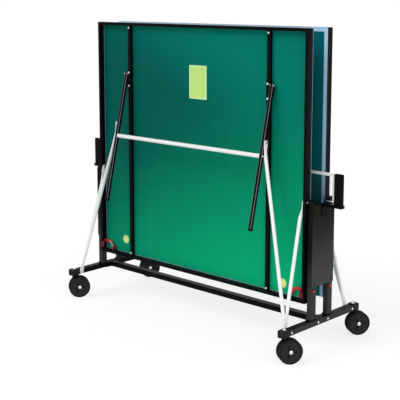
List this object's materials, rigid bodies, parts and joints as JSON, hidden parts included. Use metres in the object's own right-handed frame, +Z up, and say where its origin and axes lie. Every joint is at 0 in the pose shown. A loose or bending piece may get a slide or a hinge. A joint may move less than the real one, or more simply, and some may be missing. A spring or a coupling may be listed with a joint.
{
  "type": "folding ping pong table",
  "caption": "Ping pong table folded upright for storage: framed green halves with folding legs on a rolling chassis, white struts, guide posts, net and casters.",
  "frame": {"origin": "on the floor, midway between the caster stems, below the middle of the net", "axes": "+X along the net, +Y across the folded halves from the front half to the rear half, +Z up"},
  "size_m": [1.83, 0.7093, 1.62],
  "materials": {
    "board_green": "wood-fibre board with smooth satin green paint",
    "frame_black": "black powder coat, satin",
    "tube_white": "white powder coat, semi-gloss",
    "bolt_zinc": "bright zinc plate",
    "rod_chrome": "polished chrome",
    "plastic_black": "moulded black plastic, lightly grained",
    "lever_red": "moulded red plastic",
    "wheel_grey": "moulded dark grey plastic",
    "tyre_black": "black rubber, matt",
    "net_dark": "dark netting cord",
    "tape_white": "white woven tape"
  },
  "bodies": {
    "chassis": {"foot_beams": "frame_black", "foot_end_caps": "plastic_black", "left_posts": "frame_black", "right_posts": "frame_black", "post_feet": "frame_black", "post_caps": "plastic_black", "post_covers": "frame_black", "cross_rail": "frame_black", "net": "net_dark", "net_tape": "tape_white", "net_posts": "plastic_black", "net_arms": "frame_black", "tension_rods": "rod_chrome", "chassis_bolts": "bolt_zinc", "lock_bushes": "lever_red"},
    "front_carriage": {"front_guide_pins": "bolt_zinc", "front_guide_rollers": "plastic_black"},
    "front_half": {"front_board": "board_green", "front_apron": "frame_black", "front_battens": "frame_black", "front_leg_brackets": "frame_black", "front_guide_plates": "frame_black", "front_top_bolts": "bolt_zinc"},
    "front_leg_frame": {"front_legs": "frame_black", "front_leg_bar": "tube_white", "front_leg_glides": "plastic_black", "front_leg_bolts": "bolt_zinc"},
    "front_leg_struts": {"front_leg_links": "tube_white"},
    "front_side_struts": {"front_side_links": "tube_white"},
    "front_left_lever": {"front_left_latch": "lever_red"},
    "front_right_lever": {"front_right_latch": "lever_red"},
    "rear_carriage": {"rear_guide_pins": "bolt_zinc", "rear_guide_rollers": "plastic_black"},
    "rear_half": {"rear_board": "board_green", "rear_apron": "frame_black", "rear_battens": "frame_black", "rear_leg_brackets": "frame_black", "rear_guide_plates": "frame_black", "rear_top_bolts": "bolt_zinc"},
    "rear_leg_frame": {"rear_legs": "frame_black", "rear_leg_bar": "tube_white", "rear_leg_glides": "plastic_black", "rear_leg_bolts": "bolt_zinc"},
    "rear_leg_struts": {"rear_leg_links": "tube_white"},
    "rear_side_struts": {"rear_side_links": "tube_white"},
    "rear_left_lever": {"rear_left_latch": "lever_red"},
    "rear_right_lever": {"rear_right_latch": "lever_red"},
    "front_left_caster": {"front_left_caster_arm": "plastic_black"},
    "front_left_rolling": {"front_left_wheel": "wheel_grey", "front_left_tyres": "tyre_black"},
    "front_right_caster": {"front_right_caster_arm": "plastic_black"},
    "front_right_rolling": {"front_right_wheel": "wheel_grey", "front_right_tyres": "tyre_black"},
    "rear_left_caster": {"rear_left_caster_arm": "plastic_black"},
    "rear_left_rolling": {"rear_left_wheel": "wheel_grey", "rear_left_tyres": "tyre_black"},
    "rear_right_caster": {"rear_right_caster_arm": "plastic_black"},
    "rear_right_rolling": {"rear_right_wheel": "wheel_grey", "rear_right_tyres": "tyre_black"}
  },
  "joints": [
    {"name": "front_lift", "type": "slide", "parent": "chassis", "child": "front_carriage", "axis": [0, 0, 1], "range_m": [0, 0.4335]},
    {"name": "front_tilt", "type": "hinge", "parent": "front_carriage", "child": "front_half", "pos_m": [0, -0.068, 0.3165], "axis": [1, 0, 0], "range_deg": [0, 90]},
    {"name": "front_leg_fold", "type": "hinge", "parent": "front_half", "child": "front_leg_frame", "pos_m": [0, -0.085, 1.33], "axis": [-1, 0, 0], "range_deg": [0, 83.01]},
    {"name": "front_leg_strut_turn", "type": "hinge", "parent": "front_leg_frame", "child": "front_leg_struts", "pos_m": [0, -0.14956, 1.05036], "axis": [1, 0, 0], "range_deg": [0, 70.72]},
    {"name": "front_side_strut_turn", "type": "hinge", "parent": "front_half", "child": "front_side_struts", "pos_m": [0, -0.085, 0.765], "axis": [-1, 0, 0], "range_deg": [0, 50.26]},
    {"name": "front_left_lever_turn", "type": "hinge", "parent": "front_half", "child": "front_left_lever", "pos_m": [-0.7462, -0.082, 0.3165], "axis": [-1, 0, 0], "range_deg": [0, 60], "stiffness_Nm_per_rad": 0.3},
    {"name": "front_right_lever_turn", "type": "hinge", "parent": "front_half", "child": "front_right_lever", "pos_m": [0.7462, -0.082, 0.3165], "axis": [-1, 0, 0], "range_deg": [0, 60], "stiffness_Nm_per_rad": 0.3},
    {"name": "rear_lift", "type": "slide", "parent": "chassis", "child": "rear_carriage", "axis": [0, 0, 1], "range_m": [0, 0.4335]},
    {"name": "rear_tilt", "type": "hinge", "parent": "rear_carriage", "child": "rear_half", "pos_m": [0, 0.068, 0.3165], "axis": [-1, 0, 0], "range_deg": [0, 90]},
    {"name": "rear_leg_fold", "type": "hinge", "parent": "rear_half", "child": "rear_leg_frame", "pos_m": [0, 0.085, 1.33], "axis": [1, 0, 0], "range_deg": [0, 83.01]},
    {"name": "rear_leg_strut_turn", "type": "hinge", "parent": "rear_leg_frame", "child": "rear_leg_struts", "pos_m": [0, 0.14956, 1.05036], "axis": [-1, 0, 0], "range_deg": [0, 70.72]},
    {"name": "rear_side_strut_turn", "type": "hinge", "parent": "rear_half", "child": "rear_side_struts", "pos_m": [0, 0.085, 0.765], "axis": [1, 0, 0], "range_deg": [0, 50.26]},
    {"name": "rear_left_lever_turn", "type": "hinge", "parent": "rear_half", "child": "rear_left_lever", "pos_m": [-0.7462, 0.082, 0.3165], "axis": [1, 0, 0], "range_deg": [0, 60], "stiffness_Nm_per_rad": 0.3},
    {"name": "rear_right_lever_turn", "type": "hinge", "parent": "rear_half", "child": "rear_right_lever", "pos_m": [0.7462, 0.082, 0.3165], "axis": [1, 0, 0], "range_deg": [0, 60], "stiffness_Nm_per_rad": 0.3},
    {"name": "front_left_caster_swivel", "type": "hinge", "parent": "chassis", "child": "front_left_caster", "pos_m": [-0.79, -0.29, 0.125], "axis": [0, 0, 1], "continuous": true},
    {"name": "front_left_wheel_roll", "type": "hinge", "parent": "front_left_caster", "child": "front_left_rolling", "pos_m": [-0.77475, -0.26652, 0.0625], "axis": [0.8387, -0.5446, 0], "continuous": true},
    {"name": "front_right_caster_swivel", "type": "hinge", "parent": "chassis", "child": "front_right_caster", "pos_m": [0.79, -0.29, 0.125], "axis": [0, 0, 1], "continuous": true},
    {"name": "front_right_wheel_roll", "type": "hinge", "parent": "front_right_caster", "child": "front_right_rolling", "pos_m": [0.80525, -0.26652, 0.0625], "axis": [0.8387, -0.5446, 0], "continuous": true},
    {"name": "rear_left_caster_swivel", "type": "hinge", "parent": "chassis", "child": "rear_left_caster", "pos_m": [-0.79, 0.29, 0.125], "axis": [0, 0, 1], "continuous": true},
    {"name": "rear_left_wheel_roll", "type": "hinge", "parent": "rear_left_caster", "child": "rear_left_rolling", "pos_m": [-0.77475, 0.31348, 0.0625], "axis": [0.8387, -0.5446, 0], "continuous": true},
    {"name": "rear_right_caster_swivel", "type": "hinge", "parent": "chassis", "child": "rear_right_caster", "pos_m": [0.79, 0.29, 0.125], "axis": [0, 0, 1], "continuous": true},
    {"name": "rear_right_wheel_roll", "type": "hinge", "parent": "rear_right_caster", "child": "rear_right_rolling", "pos_m": [0.80525, 0.31348, 0.0625], "axis": [0.8387, -0.5446, 0], "continuous": true}
  ],
  "couplings": [
    {"joint": "front_lift", "follows": "front_tilt", "m_per_rad": 0.27597},
    {"joint": "front_leg_fold", "follows": "front_tilt", "ratio": 0.92228},
    {"joint": "front_leg_strut_turn", "follows": "front_tilt", "ratio": 0.78581},
    {"joint": "front_side_strut_turn", "follows": "front_tilt", "ratio": 0.55846},
    {"joint": "rear_lift", "follows": "rear_tilt", "m_per_rad": 0.27597},
    {"joint": "rear_leg_fold", "follows": "rear_tilt", "ratio": 0.92228},
    {"joint": "rear_leg_strut_turn", "follows": "rear_tilt", "ratio": 0.78581},
    {"joint": "rear_side_strut_turn", "follows": "rear_tilt", "ratio": 0.55846}
  ]
}
